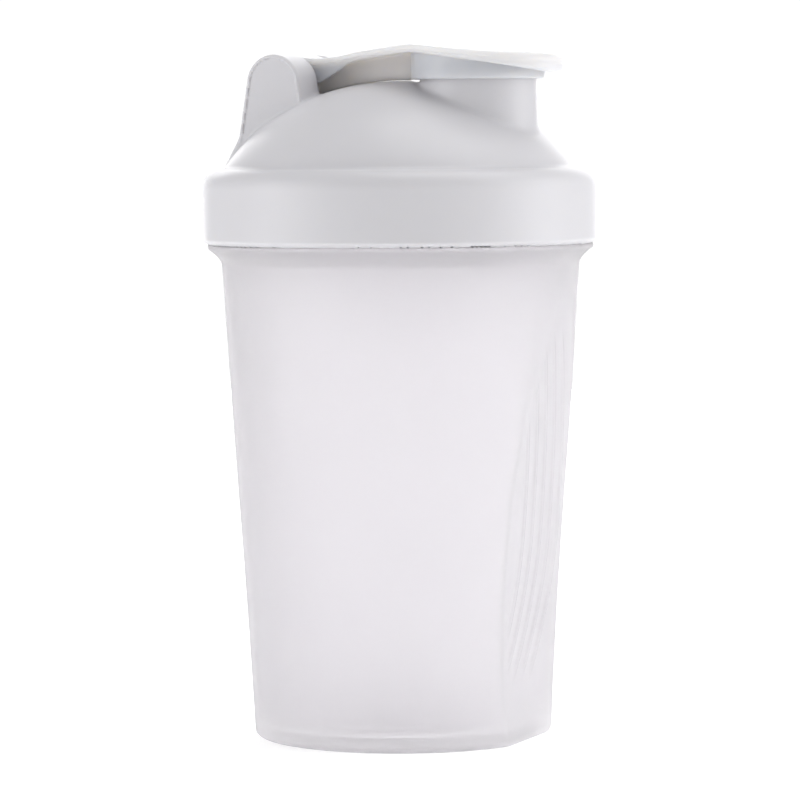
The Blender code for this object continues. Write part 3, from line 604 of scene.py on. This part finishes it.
# Light goes a short way into the lid's thick plastic, and right through the flip cap's thin plate and web
WHITE = dict(Subsurface_Weight=0.2, Subsurface_Radius=(1.0, 0.9, 0.75), Subsurface_Scale=0.002, IOR=1.49,
             Specular_IOR_Level=0.35)
THIN = {**WHITE, "Subsurface_Weight": 1.0, "Subsurface_Scale": 0.008}
cup_plastic = moulded_plastic("frosted_polypropylene", (0.965, 0.95, 0.972), (0.955, 0.94, 0.962), 0.55,
                              Transmission_Weight=0.72, IOR=1.49, Specular_IOR_Level=0.4)
lid_plastic = moulded_plastic("white_polypropylene", (0.672, 0.665, 0.692), (0.655, 0.648, 0.675), 0.36,
                              **WHITE)
cap_plastic = moulded_plastic("white_polypropylene_cap", (0.72, 0.712, 0.725), (0.70, 0.692, 0.705), 0.34,
                              **THIN)
silicone = moulded_plastic("milky_silicone", (0.86, 0.86, 0.86), (0.83, 0.83, 0.83), 0.6,
                           Subsurface_Weight=0.3, Subsurface_Radius=(1.0, 1.0, 0.9), Subsurface_Scale=0.002)

cup = make_cup()
dress(cup, cup_plastic)
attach(cup, "cup")
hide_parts("cup")

lid = make_lid()
dress(lid, lid_plastic)
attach(lid, "lid")
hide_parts("lid")

cap = make_flip_cap()
dress(cap, cap_plastic)
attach(cap, "flip_cap")
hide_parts("flip_cap")

for node, material in (("hinge_pin", cap_plastic), ("lid_seal", silicone), ("mixing_grid", lid_plastic)):
    dress(frame["nodes"][node], material)

# --- Stage ----------------------------------------------------------------------------------------------

VIEW_AZIMUTH = 26.0
AMBIENT, FLOOR_GLOW = 0.40, 0.38
EYE_DISTANCE, EYE_HEIGHT, AIM_HEIGHT = 1.063, 0.151, 0.0834
LENS = 192.8
ROLL = 0.4  # degrees that the bottle leans to the left


def make_floor():
    """A plain pale floor that gives back a little light of its own, so the foot isn't in the dark."""
    bpy.ops.mesh.primitive_plane_add(size=2.6, location=(0, 0, 0))
    floor = bpy.context.object
    floor.name = "floor"
    material = bpy.data.materials.new("pale_floor")
    material.use_nodes = True
    shader = material.node_tree.nodes["Principled BSDF"]
    shader.inputs["Base Color"].default_value = (0.95, 0.95, 0.95, 1)
    shader.inputs["Roughness"].default_value = 1.0
    shader.inputs["Specular IOR Level"].default_value = 0.0
    shader.inputs["Emission Color"].default_value = (1, 1, 1, 1)
    shader.inputs["Emission Strength"].default_value = FLOOR_GLOW
    floor.data.materials.append(material)


def make_world():
    """Even light from all round. What is seen behind the bottle is plain white."""
    world = bpy.data.worlds.new("studio")
    bpy.context.scene.world = world
    world.use_nodes = True
    nodes, links = world.node_tree.nodes, world.node_tree.links
    fill = nodes["Background"]
    fill.inputs["Strength"].default_value = AMBIENT
    fill.inputs["Color"].default_value = (1, 1, 1, 1)
    white = nodes.new("ShaderNodeBackground")
    white.inputs["Color"].default_value = (1, 1, 1, 1)
    white.inputs["Strength"].default_value = 1.05
    mix = nodes.new("ShaderNodeMixShader")
    path = nodes.new("ShaderNodeLightPath")
    links.new(path.outputs["Is Camera Ray"], mix.inputs["Fac"])
    links.new(fill.outputs[0], mix.inputs[1])
    links.new(white.outputs[0], mix.inputs[2])
    links.new(mix.outputs[0], nodes["World Output"].inputs["Surface"])


def softbox(name, size, power, turn, elevation, distance):
    """A soft box facing the bottle's middle. turn is the angle to the right of the camera's own place."""
    light = bpy.data.lights.new(name, "AREA")
    light.shape = "RECTANGLE"
    light.size, light.size_y = size
    light.energy = power
    lamp = bpy.data.objects.new(name, light)
    a, e = math.radians(VIEW_AZIMUTH + turn), math.radians(elevation)
    away = Vector((math.sin(a) * math.cos(e), -math.cos(a) * math.cos(e), math.sin(e)))
    lamp.location = Vector((0, 0, 0.09)) + away * distance
    lamp.rotation_euler = away.to_track_quat("Z", "Y").to_euler()
    bpy.context.scene.collection.objects.link(lamp)


def make_camera():
    """A long lens at the photograph's angle, rolled as much as the photograph is."""
    azimuth = math.radians(VIEW_AZIMUTH)
    eye = Vector((EYE_DISTANCE * math.sin(azimuth), -EYE_DISTANCE * math.cos(azimuth), EYE_HEIGHT))
    right = Vector((math.cos(azimuth), math.sin(azimuth), 0))
    aim = Vector((0, 0, AIM_HEIGHT)) - right * 0.0004
    data = bpy.data.cameras.new("camera")
    data.lens = LENS
    data.clip_end = 50
    camera = bpy.data.objects.new("camera", data)
    camera.location = eye
    facing = (eye - aim).to_track_quat("Z", "Y")
    camera.rotation_euler = (facing @ Quaternion((0, 0, 1), math.radians(-ROLL))).to_euler()
    bpy.context.scene.collection.objects.link(camera)
    bpy.context.scene.camera = camera


make_floor()
make_world()
softbox("left_box", (0.5, 0.9), 3.3, -74, 12, 0.9)
softbox("right_box", (0.6, 0.9), 4.0, 83, 12, 0.9)
softbox("back_box", (1.7, 1.2), 14.0, 180, 10, 1.6)
softbox("top_box", (0.8, 0.8), 4.5, 100, 75, 1.0)
make_camera()
bpy.context.scene.view_settings.view_transform = "Standard"

bpy.context.view_layer.update()
